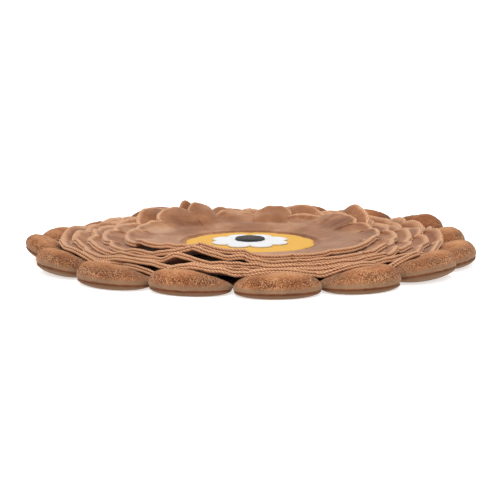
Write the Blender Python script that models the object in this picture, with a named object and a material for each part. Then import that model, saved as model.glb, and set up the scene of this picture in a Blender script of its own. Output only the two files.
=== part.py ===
"""A round snuffle mat of layered plush, modelled as it is cut and sewn.

A flat padded base carries sixteen stuffed lobes round its edge and five scalloped plush discs on top.
The discs are stitched through at the middle, under a round applique, and stand free beyond it, so that
treats can be pushed between them. Their edges ripple: at the front the scallops droop between raised
notches, and at the back they stand up. Lengths are in metres, bearings in degrees from the front (-Y)
towards +X, and the base lies on z = 0.
"""

import math
from collections import namedtuple

import bpy
import numpy as np

# Base pad: a flat sixteen-sided cushion, one side to each lobe.
PAD_APOTHEM = 0.1660
PAD_THICKNESS = 0.0040

# Rim lobes, sewn face to face to the pad's sides.
LOBE_COUNT = 16
LOBE_PITCH = 2 * math.pi / LOBE_COUNT
FIRST_LOBE_BEARING = 6.85
SEAM_GAP = 0.0003
LOBE_ROOT = PAD_APOTHEM + SEAM_GAP
LOBE_SIDE_GAP = 0.0005
LOBE_FULL_FROM = 0.92
LOBE_ROUND_FROM = 0.62
LOBE_ROOT_THICKNESS = 0.0040
LOBE_TIP_POWER = 0.84
LOBE_SEAM_SHARE = 0.20
LOBE_BLUNTNESS = 0.70
LOBE_UNDERSIDE_FULLNESS = 1.7
LOBE_SECTIONS = (0.0, 0.18, 0.36, 0.56, 0.76, 0.90, 0.975)
LOBE_TOP_SIDES = (-1.0, -0.92, -0.55, 0.0, 0.55, 0.92, 1.0)
LOBE_UNDER_SIDES = (0.8, 0.0, -0.8)

Lobe = namedtuple("Lobe", "reach plump lift skew")
# A row for each lobe, from the front one round towards +X: how far out its tip lies, how thick it is,
# how much its tip is lifted off the floor, and how far its crown leans to its right side.
LOBES = (
    Lobe(0.2570, 0.0265, 0.000, 0.00),
    Lobe(0.2560, 0.0285, 0.000, 0.30),
    Lobe(0.2560, 0.0290, 0.007, 0.30),
    Lobe(0.2515, 0.0275, 0.005, 0.20),
    Lobe(0.2420, 0.0265, 0.009, 0.10),
    Lobe(0.2475, 0.0280, 0.011, -0.10),
    Lobe(0.2460, 0.0280, 0.004, 0.10),
    Lobe(0.2480, 0.0290, 0.000, -0.15),
    Lobe(0.2450, 0.0225, 0.000, 0.10),
    Lobe(0.2470, 0.0285, 0.003, -0.10),
    Lobe(0.2430, 0.0200, 0.000, 0.10),
    Lobe(0.2450, 0.0230, 0.003, 0.00),
    Lobe(0.2475, 0.0240, 0.013, 0.10),
    Lobe(0.2500, 0.0275, 0.006, -0.15),
    Lobe(0.2520, 0.0275, 0.001, -0.30),
    Lobe(0.2470, 0.0275, 0.000, -0.30),
)

# Scalloped discs. Within SEWN_RADIUS the stitching round the applique presses the stack flat and thin.
SEWN_RADIUS = 0.075
SEWN_THICKNESS = 0.0017
SEWN_GAP = 0.0003
LOOSE_THICKNESS = 0.0027
LOOSE_GAP = 0.0011
LOOSE_FROM = 0.105
SCALLOP_ROUNDNESS = 2.8
BEARING_STEPS = 72
BEARING_STEP = 2 * math.pi / BEARING_STEPS
FIRST_BEARING = math.radians(-2)
CURL_RADII = (0.094, 0.116)
CURLED_DISCS = ("petal_disc_4", "petal_disc_5")
SMOOTH_UNDER = math.radians(40)
NOTCH_CLOSED = 0.80
CREASE_SHARE = 0.28
BACK_SHARPNESS = 3
SETTLE = 0.0012
RIM_REACH = 0.004

Disc = namedtuple("Disc", "name tip notch notch_height front_rise back_rise front_ramp")
# A row for each disc, from the lowest up: the radii of its scallops' tips and notches, the height that
# the notches stand at, how much higher the tips are at the front and back, and how the front slopes: a
# ramp over 1 lies flat and then rises, one under 1 rises and then levels off.
DISCS = (
    Disc("petal_disc_1", 0.214, 0.200, 0.0145, 0.000, 0.004, 3.5),
    Disc("petal_disc_2", 0.198, 0.183, 0.0145, -0.001, 0.005, 2.8),
    Disc("petal_disc_3", 0.181, 0.166, 0.0140, -0.002, 0.008, 1.8),
    Disc("petal_disc_4", 0.164, 0.147, 0.0160, -0.001, 0.008, 0.9),
    Disc("petal_disc_5", 0.144, 0.126, 0.0235, -0.001, 0.002, 0.9),
)

# The bearings of each disc's notches. Most petals are 20 degrees wide, and two that lie together at the
# front left, or stand together at the back right, are one.
NOTCHES = {
    "petal_disc_1": (-2, 18, 38, 58, 78, 98, 118, 138, 158, 178, 198, 218, 238, 278, 318, 338),
    "petal_disc_2": (-7, 13, 33, 53, 73, 93, 113, 133, 153, 173, 193, 213, 233, 258, 293, 333),
    "petal_disc_3": (3, 23, 43, 63, 83, 103, 123, 143, 163, 183, 203, 223, 243, 268, 303, 343),
    "petal_disc_4": (-2, 18, 48, 78, 98, 118, 143, 168, 183, 203, 213, 238, 258, 288, 318, 338),
    "petal_disc_5": (-2, 18, 38, 68, 98, 115, 158, 178, 198, 213, 233, 263, 298, 338),
}

Head = namedtuple("Head", "disc bearing half_width rise crease")
# The petals that stand up with a round head: a row for each. The crease is where a petal turns up, as a
# share of the way from the stitching to the edge.
HEADS = (
    Head("petal_disc_4", 129, 11, 0.0175, 0.66),
    Head("petal_disc_4", 155.5, 12, 0.0090, 0.66),
    Head("petal_disc_4", 190, 13, 0.0050, 0.66),
    Head("petal_disc_4", 208, 6, 0.0170, 0.66),
    Head("petal_disc_4", 225.5, 12.5, 0.0160, 0.60),
    Head("petal_disc_5", 136.5, 21.5, 0.0035, 0.28),
    Head("petal_disc_5", 168, 10, 0.0070, 0.28),
    Head("petal_disc_5", 188, 10, 0.0010, 0.28),
    Head("petal_disc_5", 205.5, 7.5, 0.0090, 0.28),
    Head("petal_disc_5", 223, 10, 0.0075, 0.28),
)

Tuck = namedtuple("Tuck", "disc bearing half_width pull")
# Where an edge is drawn in.
TUCKS = (
    Tuck("petal_disc_1", -38, 26, 0.0150),
    Tuck("petal_disc_5", -98, 34, 0.0090),
)

Fold = namedtuple("Fold", "disc bearing half_width rise")
# The folds that lift or sink a stretch of an edge: a row for each.
FOLDS = (
    Fold("petal_disc_1", -14, 16, 0.009),
    Fold("petal_disc_1", -33, 18, -0.010),
    Fold("petal_disc_1", -72, 12, 0.010),
    Fold("petal_disc_1", 100, 14, 0.006),
    Fold("petal_disc_2", 40, 20, 0.005),
    Fold("petal_disc_2", -38, 24, 0.0075),
    Fold("petal_disc_2", -95, 12, 0.005),
    Fold("petal_disc_3", -24, 12, 0.018),
    Fold("petal_disc_3", -46, 14, 0.008),
    Fold("petal_disc_3", -6, 16, 0.0105),
    Fold("petal_disc_3", 64, 12, 0.006),
    Fold("petal_disc_4", -22, 27, 0.0165),
    Fold("petal_disc_4", -3, 10, 0.008),
    Fold("petal_disc_4", 80, 12, 0.004),
    Fold("petal_disc_5", -30, 46, 0.007),
    Fold("petal_disc_5", 24, 34, -0.004),
    Fold("petal_disc_5", 106, 10, -0.002),
    Fold("petal_disc_5", 121, 22, 0.004),
    Fold("petal_disc_5", 149, 14, -0.006),
    Fold("petal_disc_5", 214, 20, 0.006),
    Fold("petal_disc_5", 246, 14, -0.009),
)

# Applique on the top disc: a scalloped ground, an eight-petalled flower and its round middle.
GROUND_RADIUS = 0.0725
GROUND_SCALLOPS = 12
GROUND_STEPS = 4
GROUND_DEPTH = 0.0035
FLOWER_RADIUS = 0.044
FLOWER_PETALS = 8
FLOWER_STEPS = 8
FLOWER_DEPTH = 0.015
MIDDLE_RADIUS = 0.0165
MIDDLE_SIDES = 24
PATCH_THICKNESS = 0.0012
MIDDLE_THICKNESS = 0.0018

PLUSH_BROWN = (0.38, 0.17, 0.085)
PLUSH_TAN = (0.45, 0.22, 0.12)
BACKING_BROWN = (0.25, 0.12, 0.06)
FELT_YELLOW = (0.80, 0.45, 0.10)
FELT_WHITE = (0.80, 0.80, 0.80)
FELT_BLACK = (0.02, 0.018, 0.016)
CLOTH_ROUGHNESS = 0.95


def smooth_step(x):
    """0 below 0, 1 above 1, and a smooth rise between."""
    x = np.clip(x, 0.0, 1.0)
    return x * x * (3 - 2 * x)


def place(bearing, radius, height):
    """The point at a bearing in radians, a radius and a height."""
    return (radius * math.sin(bearing), -radius * math.cos(bearing), height)


def make_solid(name, points, faces, colour):
    """A closed mesh object with its own cloth material."""
    material = bpy.data.materials.new(name)
    material.use_nodes = True
    shader = material.node_tree.nodes["Principled BSDF"]
    shader.inputs["Base Color"].default_value = (*colour, 1.0)
    shader.inputs["Roughness"].default_value = CLOTH_ROUGHNESS
    shader.inputs["Metallic"].default_value = 0.0
    mesh = bpy.data.meshes.new(name)
    mesh.from_pydata(points, [], faces)
    mesh.materials.append(material)
    mesh.shade_smooth()
    mesh.set_sharp_from_angle(angle=SMOOTH_UNDER)
    solid = bpy.data.objects.new(name, mesh)
    bpy.context.scene.collection.objects.link(solid)
    return solid


def outline_slab(name, outline, low, high, colour):
    """A flat slab: the outline's (x, y) points closed by a fan above and below."""
    count = len(outline)
    points = [(x, y, low) for x, y in outline] + [(x, y, high) for x, y in outline]
    points += [(0.0, 0.0, low), (0.0, 0.0, high)]
    faces = []
    for i in range(count):
        j = (i + 1) % count
        faces.append((i, j, count + j, count + i))
        faces.append((2 * count, j, i))
        faces.append((2 * count + 1, count + i, count + j))
    return make_solid(name, points, faces, colour)


# Rim lobes


def lobe_taper(along):
    """1 over most of the lobe's length, and rounding off to 0 at its tip."""
    rounding = np.clip((along - LOBE_ROUND_FROM) / (1 - LOBE_ROUND_FROM), 0.0, 1.0)
    return np.sqrt(1 - rounding**2)


def lobe_half_width(lobe, along):
    """Half the lobe's width: it fills its share of the rim up to where the tip rounds off."""
    radius = LOBE_ROOT + (lobe.reach - LOBE_ROOT) * along
    return (radius * math.tan(LOBE_PITCH / 2) - LOBE_SIDE_GAP) * lobe_taper(along)


def lobe_fullness(lobe, along):
    """Thickness before the tip rounds off: thin at the root and growing to the full stuffing."""
    grown = smooth_step(along / LOBE_FULL_FROM)
    return LOBE_ROOT_THICKNESS + (lobe.plump - LOBE_ROOT_THICKNESS) * grown


def lobe_seam_height(lobe, along):
    """Height of the seam that joins the upper and lower cloth."""
    return LOBE_SEAM_SHARE * lobe_fullness(lobe, along) + lobe.lift * along**3


def lobe_top(lobe, along, across):
    """The upper cloth arches bluntly over the seam and leans to one side."""
    full = lobe_fullness(lobe, along) * lobe_taper(along) ** LOBE_TIP_POWER
    lean = (1 + lobe.skew * across) / (1 + lobe.skew**2 / 2)
    arch = (1 - across**2) ** (LOBE_BLUNTNESS / 2) * lean
    return lobe_seam_height(lobe, along) + (1 - LOBE_SEAM_SHARE) * full * arch


def lobe_underside(lobe, along, across):
    """The lower cloth bulges down until the floor flattens it."""
    full = lobe_fullness(lobe, along) * lobe_taper(along) ** LOBE_TIP_POWER
    drop = LOBE_UNDERSIDE_FULLNESS * LOBE_SEAM_SHARE * full * np.sqrt(1 - across**2)
    return np.maximum(lobe_seam_height(lobe, along) - drop, 0.0)


def make_lobe(index):
    """Sections along X from the flat root to the tip, joined into one skin, and turned to its bearing."""
    lobe = LOBES[index]
    points = []
    for along in LOBE_SECTIONS:
        radius = LOBE_ROOT + (lobe.reach - LOBE_ROOT) * along
        half_width = float(lobe_half_width(lobe, along))
        for across in LOBE_TOP_SIDES:
            points.append((radius, half_width * across, float(lobe_top(lobe, along, across))))
        for across in LOBE_UNDER_SIDES:
            points.append((radius, half_width * across, float(lobe_underside(lobe, along, across))))
    tip = len(points)
    points.append((lobe.reach, 0.0, float(lobe_seam_height(lobe, 1.0))))
    count = len(LOBE_TOP_SIDES) + len(LOBE_UNDER_SIDES)
    faces = [tuple(range(count))]
    for section in range(len(LOBE_SECTIONS)):
        start = section * count
        for i in range(count):
            j = (i + 1) % count
            if section + 1 < len(LOBE_SECTIONS):
                faces.append((start + i, start + count + i, start + count + j, start + j))
            else:
                faces.append((start + i, tip, start + j))
    solid = make_solid(f"rim_lobe_{index + 1:02d}", points, faces, PLUSH_BROWN)
    bearing = math.radians(FIRST_LOBE_BEARING) + index * LOBE_PITCH
    solid.rotation_euler.z = bearing - math.pi / 2


def rim_top(bearing, radius):
    """Height of the pad and the lobes under a point of the lowest disc."""
    index = round((bearing - math.radians(FIRST_LOBE_BEARING)) / LOBE_PITCH) % LOBE_COUNT
    lobe = LOBES[index]
    turn = bearing - math.radians(FIRST_LOBE_BEARING) - index * LOBE_PITCH
    forward = radius * math.cos(turn)
    if forward <= LOBE_ROOT:
        return PAD_THICKNESS
    along = min((forward - LOBE_ROOT) / (lobe.reach - LOBE_ROOT), 0.99)
    across = np.clip(radius * math.sin(turn) / lobe_half_width(lobe, along), -1.0, 1.0)
    return max(PAD_THICKNESS, float(lobe_top(lobe, along, across)))


def rim_support(bearing, radius):
    """The highest point of the rim near a point of the lowest disc, whose facets span such a stretch."""
    turns = (-BEARING_STEP / 2, 0.0, BEARING_STEP / 2)
    shifts = (-RIM_REACH, 0.0, RIM_REACH)
    return max(rim_top(bearing + turn, radius + shift) for turn in turns for shift in shifts)


# Scalloped discs


def scallop_share(disc, bearing):
    """Place within a scallop: 0 and 1 at its notches, 0.5 at its middle."""
    notches = NOTCHES[disc.name]
    turned = (math.degrees(bearing) - notches[0] + 1e-6) % 360 + notches[0]
    start = max(notch for notch in notches if notch <= turned)
    end = min([notch for notch in notches if notch > turned], default=notches[0] + 360)
    return (turned - start) / (end - start)


def away(bearing, feature):
    """How far a bearing is from a feature's middle: 1 at half its width and beyond."""
    turn = abs((math.degrees(bearing) - feature.bearing + 180) % 360 - 180)
    return min(turn / feature.half_width, 1.0)


def bell(bearing, feature):
    """1 at the feature's middle, 0 from half its width on, and a cosine between."""
    return (1 + math.cos(math.pi * away(bearing, feature))) / 2


def edge_radius(disc, bearing):
    """Each scallop is a round-ended arc between two notches. Over the front the petals crowd together,
    which closes part of each notch."""
    offset = abs(2 * scallop_share(disc, bearing) - 1)
    bulge = (1 - min(offset, 1.0) ** SCALLOP_ROUNDNESS) ** (1 / SCALLOP_ROUNDNESS)
    closed = NOTCH_CLOSED * ((1 + math.cos(bearing)) / 2) ** 1.2
    radius = disc.tip - (disc.tip - disc.notch) * (1 - bulge) * (1 - closed)
    for tuck in TUCKS:
        if tuck.disc == disc.name:
            radius -= tuck.pull * bell(bearing, tuck)
    return radius


def edge_height(disc, bearing):
    """Height at which the edge would hang if nothing lay under it and no petal stood up."""
    share = scallop_share(disc, bearing)
    middle = (1 - math.cos(2 * math.pi * share)) / 2
    rise = disc.front_rise + (disc.back_rise - disc.front_rise) * back_share(bearing)
    height = disc.notch_height + rise * middle
    for fold in FOLDS:
        if fold.disc == disc.name:
            height += fold.rise * bell(bearing, fold)
    return height


def stand_up(share, crease):
    """0 as far as the crease, and then a quarter of a sine wave up to 1 at the edge."""
    return math.sin(math.pi / 2 * max(share - crease, 0.0) / (1 - crease)) ** 1.15


def head_height(disc, bearing, share):
    """How much higher the cloth stands there because a petal stands up."""
    height = 0.0
    for head in HEADS:
        if head.disc == disc.name:
            height += head.rise * (1 - away(bearing, head) ** 2.4) ** 0.6 * stand_up(share, head.crease)
    return height


def back_share(bearing):
    """0 over the front, 1 at the back."""
    return ((1 - math.cos(bearing)) / 2) ** BACK_SHARPNESS


def free_height(disc, bearing, radius, sewn_height):
    """Height of the unsupported cloth between the stitching and the edge.

    At the front it slopes up by the disc's ramp. At the back it lies flat as far as a crease and then
    stands up.
    """
    share = (radius - SEWN_RADIUS) / (edge_radius(disc, bearing) - SEWN_RADIUS)
    back = back_share(bearing) ** 0.6
    climbed = (1 - back) * share**disc.front_ramp + back * stand_up(share, CREASE_SHARE)
    level = sewn_height + (edge_height(disc, bearing) - sewn_height) * climbed
    return level + head_height(disc, bearing, share)


def loose_share(radius):
    """0 where the stack is sewn down, 1 where its discs are free of each other."""
    return float(smooth_step((radius - SEWN_RADIUS) / (LOOSE_FROM - SEWN_RADIUS)))


def gap_under(radius):
    return SEWN_GAP + (LOOSE_GAP - SEWN_GAP) * loose_share(radius)


def thickness(radius):
    return SEWN_THICKNESS + (LOOSE_THICKNESS - SEWN_THICKNESS) * loose_share(radius)


def resting(free, support):
    """The free height where it is well above the support, and just on the support where it is below."""
    lifted = (free - support) / SETTLE
    return support + SETTLE * float(np.logaddexp(0.0, lifted))


def line_radii(disc, bearing):
    """Radii of the disc's points along a bearing, the last at its own edge.

    The others lie under the edges of the discs above it, so that two discs share their facets in plan
    and are as far apart between their points as they are at them.
    """
    above = DISCS[DISCS.index(disc):]
    curl = list(CURL_RADII) if disc.name in CURLED_DISCS else []
    return [SEWN_RADIUS] + curl + [edge_radius(other, bearing) for other in reversed(above)]


def lay_line(disc, bearing, top_below, sewn):
    """The radii of the disc's points along a bearing, and the heights of its underside there."""
    radii = line_radii(disc, bearing)
    heights = [sewn]
    for radius in radii[1:]:
        support = top_below(bearing, radius) + gap_under(radius)
        heights.append(resting(free_height(disc, bearing, radius, sewn), support))
    return radii, heights


def top_of(lines):
    """The height of a laid disc's upper side, as a function of bearing and radius."""

    def top(bearing, radius):
        return float(np.interp(radius, *lines[bearing])) + thickness(radius)

    return top


def stack_discs():
    """For each disc, its row, its points along each bearing, and its height at the middle.

    Each disc lies on the one below wherever it would otherwise pass into it, so the stack is
    worked out from the pad up, line by line, on the same bearings for every disc.
    """
    bearings = [FIRST_BEARING + i * BEARING_STEP for i in range(BEARING_STEPS)]
    top_below = rim_support
    stacks = []
    sewn = PAD_THICKNESS + SEWN_GAP
    for disc in DISCS:
        lines = {bearing: lay_line(disc, bearing, top_below, sewn) for bearing in bearings}
        stacks.append((disc, lines, sewn))
        top_below = top_of(lines)
        sewn += SEWN_THICKNESS + SEWN_GAP
    return stacks


def make_disc(disc, lines, sewn):
    """A closed sheet: an upper and a lower skin on the same lattice, joined round the scalloped edge."""
    rings = len(line_radii(disc, 0.0))
    count = len(lines)
    points = []
    for skin in (0, 1):
        for bearing, (radii, heights) in lines.items():
            points += [place(bearing, r, z + skin * thickness(r)) for r, z in zip(radii, heights)]
    upper = rings * count
    middle_low = len(points)
    points += [(0.0, 0.0, sewn), (0.0, 0.0, sewn + SEWN_THICKNESS)]
    faces = []
    for i in range(count):
        here, there = i * rings, (i + 1) % count * rings
        faces.append((middle_low, there, here))
        faces.append((middle_low + 1, upper + here, upper + there))
        for k in range(rings - 1):
            a, b, c, d = here + k, here + k + 1, there + k + 1, there + k
            faces += [(a, c, b), (a, d, c)]
            faces += [(upper + a, upper + b, upper + c), (upper + a, upper + c, upper + d)]
        a, d = here + rings - 1, there + rings - 1
        faces += [(a, d, upper + d), (a, upper + d, upper + a)]
    return make_solid(disc.name, points, faces, PLUSH_TAN)


# Applique


def scalloped_outline(radius, depth, scallops, steps):
    """A round outline whose edge is that many arcs, each cut in by depth at its notches."""
    outline = []
    for i in range(scallops * steps):
        bearing = 2 * math.pi * i / (scallops * steps)
        offset = abs(2 * (i / steps % 1.0) - 1)
        reach = radius - depth * (1 - math.sqrt(1 - offset**2))
        outline.append((reach * math.sin(bearing), -reach * math.cos(bearing)))
    return outline


def make_applique(top):
    """Three felt patches, one on another, on the top disc's flat middle."""
    ground_low = top + SEWN_GAP
    flower_low = ground_low + PATCH_THICKNESS + SEWN_GAP
    middle_low = flower_low + PATCH_THICKNESS + SEWN_GAP
    ground = scalloped_outline(GROUND_RADIUS, GROUND_DEPTH, GROUND_SCALLOPS, GROUND_STEPS)
    flower = scalloped_outline(FLOWER_RADIUS, FLOWER_DEPTH, FLOWER_PETALS, FLOWER_STEPS)
    middle = scalloped_outline(MIDDLE_RADIUS, 0.0, 1, MIDDLE_SIDES)
    outline_slab("applique_ground", ground, ground_low, ground_low + PATCH_THICKNESS, FELT_YELLOW)
    outline_slab("applique_flower", flower, flower_low, flower_low + PATCH_THICKNESS, FELT_WHITE)
    outline_slab("applique_middle", middle, middle_low, middle_low + MIDDLE_THICKNESS, FELT_BLACK)


def make_pad():
    """One flat side to each lobe, so that each seam is face to face."""
    corner = PAD_APOTHEM / math.cos(LOBE_PITCH / 2)
    start = math.radians(FIRST_LOBE_BEARING) + LOBE_PITCH / 2
    outline = [place(start + i * LOBE_PITCH, corner, 0.0)[:2] for i in range(LOBE_COUNT)]
    outline_slab("base_pad", outline, 0.0, PAD_THICKNESS, BACKING_BROWN)


def main():
    for old in list(bpy.data.objects):
        bpy.data.objects.remove(old)
    make_pad()
    for index in range(LOBE_COUNT):
        make_lobe(index)
    for disc, lines, sewn in stack_discs():
        make_disc(disc, lines, sewn)
    make_applique(sewn + SEWN_THICKNESS)


main()
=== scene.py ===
"""A round plush snuffle mat as it looks: pile, hems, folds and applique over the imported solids.

Bearings are counted from the front (-Y) towards +X. Lengths are in metres and the floor is z = 0.
"""

import math

import bpy
import numpy as np
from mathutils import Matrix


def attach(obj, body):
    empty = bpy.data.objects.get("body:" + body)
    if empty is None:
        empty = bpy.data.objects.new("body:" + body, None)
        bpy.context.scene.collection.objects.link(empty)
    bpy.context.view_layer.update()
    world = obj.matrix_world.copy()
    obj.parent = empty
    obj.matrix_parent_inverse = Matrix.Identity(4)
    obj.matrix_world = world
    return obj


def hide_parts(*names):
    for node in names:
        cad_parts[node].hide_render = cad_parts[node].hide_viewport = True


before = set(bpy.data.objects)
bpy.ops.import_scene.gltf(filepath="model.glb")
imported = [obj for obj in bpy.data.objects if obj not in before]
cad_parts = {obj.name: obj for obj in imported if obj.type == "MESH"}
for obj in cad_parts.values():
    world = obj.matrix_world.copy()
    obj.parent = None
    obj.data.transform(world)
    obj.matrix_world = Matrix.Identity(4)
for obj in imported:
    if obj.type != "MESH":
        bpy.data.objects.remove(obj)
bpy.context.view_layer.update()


# Base pad: a flat sixteen-sided underlay, two backing cloths with thin wadding between them. The lobes
# are sewn to its sides and the discs to its middle, so only its underside is open to view.
PAD_APOTHEM = 0.1660
PAD_MEAN_RADIUS = 0.100
PAD_THICKNESS = 0.0040
PAD_ROUNDING = 0.0012
PAD_COLUMNS = 480
PAD_ROWS = 24
PAD_EDGE_ROWS = 9
QUILT_DEPTH = 0.0006
QUILT_RINGS = 10
LOBE_COUNT = 16
LOBE_PITCH = 2 * math.pi / LOBE_COUNT
FIRST_LOBE = math.radians(6.85)


def smooth_step(x):
    """0 below 0, 1 above 1, and 3x^2 - 2x^3 between."""
    x = np.clip(x, 0.0, 1.0)
    return x * x * (3 - 2 * x)


def ripple(seed, size, *coordinates):
    """Smooth unevenness, mostly from -1 to 1, as a function of the coordinates: the sum of 24 sine waves
    of random direction and phase, each about size long, over its usual height."""
    draw = np.random.default_rng(seed)
    waves, level = 24, 1.6
    total = 0.0
    for _ in range(waves):
        heading = draw.normal(size=len(coordinates))
        heading *= 2 * math.pi / (size * draw.uniform(0.7, 1.5) * np.linalg.norm(heading))
        phase = draw.uniform(0, 2 * math.pi)
        total = total + np.sin(sum(k * c for k, c in zip(heading, coordinates)) + phase)
    return total / waves**0.5 / level


def sew_skin(name, grid, ends, uv, paints, material):
    """One closed skin from a grid of points, rows by columns: the columns run round and join up, and the
    first and last row are each closed by a fan to an end point. uv is rows by columns + 1, in metres.
    paints are named numbers, one for each point of the grid."""
    rows, columns = grid.shape[:2]
    here = np.arange(columns)
    there = (here + 1) % columns
    start = columns * np.arange(rows - 1)[:, None]
    quads = np.stack([start + here, start + there, start + columns + there, start + columns + here], -1)
    quads = quads.reshape(-1, 4)
    last = columns * (rows - 1)
    fans = np.concatenate(
        [
            np.stack([np.full(columns, rows * columns), there, here], -1),
            np.stack([np.full(columns, rows * columns + 1), last + here, last + there], -1),
        ]
    )
    row_uv = np.stack([uv[:-1, :-1], uv[:-1, 1:], uv[1:, 1:], uv[1:, :-1]], 2).reshape(-1, 4, 2)
    fan_uv = np.concatenate(
        [
            np.stack([uv[0, :-1], uv[0, 1:], uv[0, :-1]], 1),
            np.stack([uv[-1, :-1], uv[-1, :-1], uv[-1, 1:]], 1),
        ]
    )
    points = np.concatenate([grid.reshape(-1, 3), np.asarray(ends, float)])
    a, b, c, d = (points[quads[:, k]] for k in range(4))
    if np.einsum("ij,ij->i", a - points.mean(0), np.cross(c - a, d - b)).sum() < 0:
        quads, row_uv = quads[:, ::-1], row_uv[:, ::-1]
        fans, fan_uv = fans[:, ::-1], fan_uv[:, ::-1]
    mesh = bpy.data.meshes.new(name)
    mesh.from_pydata(points.tolist(), [], quads.tolist() + fans.tolist())
    cloth_map = mesh.uv_layers.new(name="cloth")
    cloth_map.data.foreach_set("uv", np.concatenate([row_uv.reshape(-1), fan_uv.reshape(-1)]))
    for paint, values in paints.items():
        layer = mesh.attributes.new(paint, "FLOAT", "POINT")
        layer.data.foreach_set("value", np.concatenate([values.reshape(-1), values[0, :1], values[-1, :1]]))
    mesh.shade_smooth()
    mesh.materials.append(material)
    piece = bpy.data.objects.new(name, mesh)
    bpy.context.scene.collection.objects.link(piece)
    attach(piece, "root")
    return piece


def new_finish(name, roughness, sheen, sheen_roughness, sheen_tint):
    """A cloth material: its shader, with the sheen of short fibres, and its nodes and links."""
    material = bpy.data.materials.new(name)
    material.use_nodes = True
    nodes, links = material.node_tree.nodes, material.node_tree.links
    shader = nodes["Principled BSDF"]
    shader.inputs["Roughness"].default_value = roughness
    shader.inputs["Specular IOR Level"].default_value = 0.15
    shader.inputs["Sheen Weight"].default_value = sheen
    shader.inputs["Sheen Roughness"].default_value = sheen_roughness
    shader.inputs["Sheen Tint"].default_value = (*sheen_tint, 1.0)
    return material, shader, nodes, links


backing, shader, nodes, links = new_finish("backing cloth", 0.9, 0.1, 0.5, (0.8, 0.7, 0.6))
cloth = nodes.new("ShaderNodeUVMap")
cloth.uv_map = "cloth"
weave = nodes.new("ShaderNodeTexWave")
weave.inputs["Scale"].default_value = 260.0
weave.inputs["Distortion"].default_value = 1.5
weave.inputs["Detail Scale"].default_value = 2.0
tone = nodes.new("ShaderNodeValToRGB")
tone.color_ramp.elements[0].color = (0.16, 0.075, 0.04, 1)
tone.color_ramp.elements[1].color = (0.29, 0.15, 0.08, 1)
relief = nodes.new("ShaderNodeBump")
relief.inputs["Distance"].default_value = 0.0004
relief.inputs["Strength"].default_value = 0.5
links.new(cloth.outputs["UV"], weave.inputs["Vector"])
links.new(weave.outputs["Fac"], tone.inputs["Fac"])
links.new(tone.outputs["Color"], shader.inputs["Base Color"])
links.new(weave.outputs["Fac"], relief.inputs["Height"])
links.new(relief.outputs["Normal"], shader.inputs["Normal"])

# The pad's rows go out over the top, round the edge and back in underneath.
bearing = FIRST_LOBE + np.arange(PAD_COLUMNS) * 2 * math.pi / PAD_COLUMNS
from_side = (bearing - FIRST_LOBE + LOBE_PITCH / 2) % LOBE_PITCH - LOBE_PITCH / 2
pad_edge = PAD_APOTHEM / np.cos(from_side)
turn = np.linspace(math.pi / 2, -math.pi / 2, PAD_EDGE_ROWS)
outward, flat_rows = np.linspace(0.02, 0.97, PAD_ROWS), np.ones(PAD_ROWS)
share = np.concatenate([outward, np.ones(PAD_EDGE_ROWS), outward[::-1]])[:, None]
inset = np.concatenate([flat_rows, 1 - np.cos(turn), flat_rows])[:, None] * PAD_ROUNDING
side = np.concatenate([flat_rows, np.sin(turn), -flat_rows])[:, None]
radius = share * (pad_edge - inset)
half = np.abs(side) * PAD_ROUNDING + (PAD_THICKNESS / 2 - PAD_ROUNDING)
height = PAD_THICKNESS / 2 + np.sign(side) * half
quilt = QUILT_DEPTH * np.abs(np.sin(QUILT_RINGS * math.pi * radius / PAD_APOTHEM))
height = height - quilt * (side == 1) * (share < 1)
grid = np.stack([radius * np.sin(bearing), -radius * np.cos(bearing), height], -1)
around = np.append(bearing, bearing[0] + 2 * math.pi)
uv = np.stack(np.broadcast_arrays(around[None] * PAD_MEAN_RADIUS, share * PAD_APOTHEM), -1)
base_pad = sew_skin("pad", grid, [(0, 0, PAD_THICKNESS), (0, 0, 0)], uv, {}, backing)
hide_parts("base_pad")


# Rim lobes: each is an upper and a lower plush cloth, stuffed with fibre and joined by a seam that lies
# low on the side. The root is sewn to the pad, and the floor flattens the lower cloth.
SEAM_GAP = 0.0003
LOBE_ROOT = PAD_APOTHEM + SEAM_GAP
LOBE_SIDE_GAP = 0.0005
LOBE_FULL_FROM = 0.92
LOBE_ROUND_FROM = 0.62
LOBE_ROOT_THICKNESS = 0.0040
LOBE_TIP_POWER = 0.84
LOBE_SEAM_SHARE = 0.20
LOBE_BLUNTNESS = 0.70
LOBE_UNDERSIDE_FULLNESS = 1.7
LOBE_LENGTH = 0.085
LOBE_MEAN_RADIUS = 0.022
LOBE_STRAIGHT_ROWS = 36
LOBE_ROUND_ROWS = 40
LOBE_UPPER_COLUMNS = 64
LOBE_LOWER_COLUMNS = 32
CREASE_HALF_WIDTH = 0.0055
LUMP_HEIGHT, LUMP_SIZE = 0.0013, 0.034
CLUMP_HEIGHT, CLUMP_SIZE = 0.00045, 0.0045
SEAM_PINCH = 0.0016
SEAM_HALF_WIDTH = 0.0013
PUCKER_SIZE = 0.009

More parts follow.
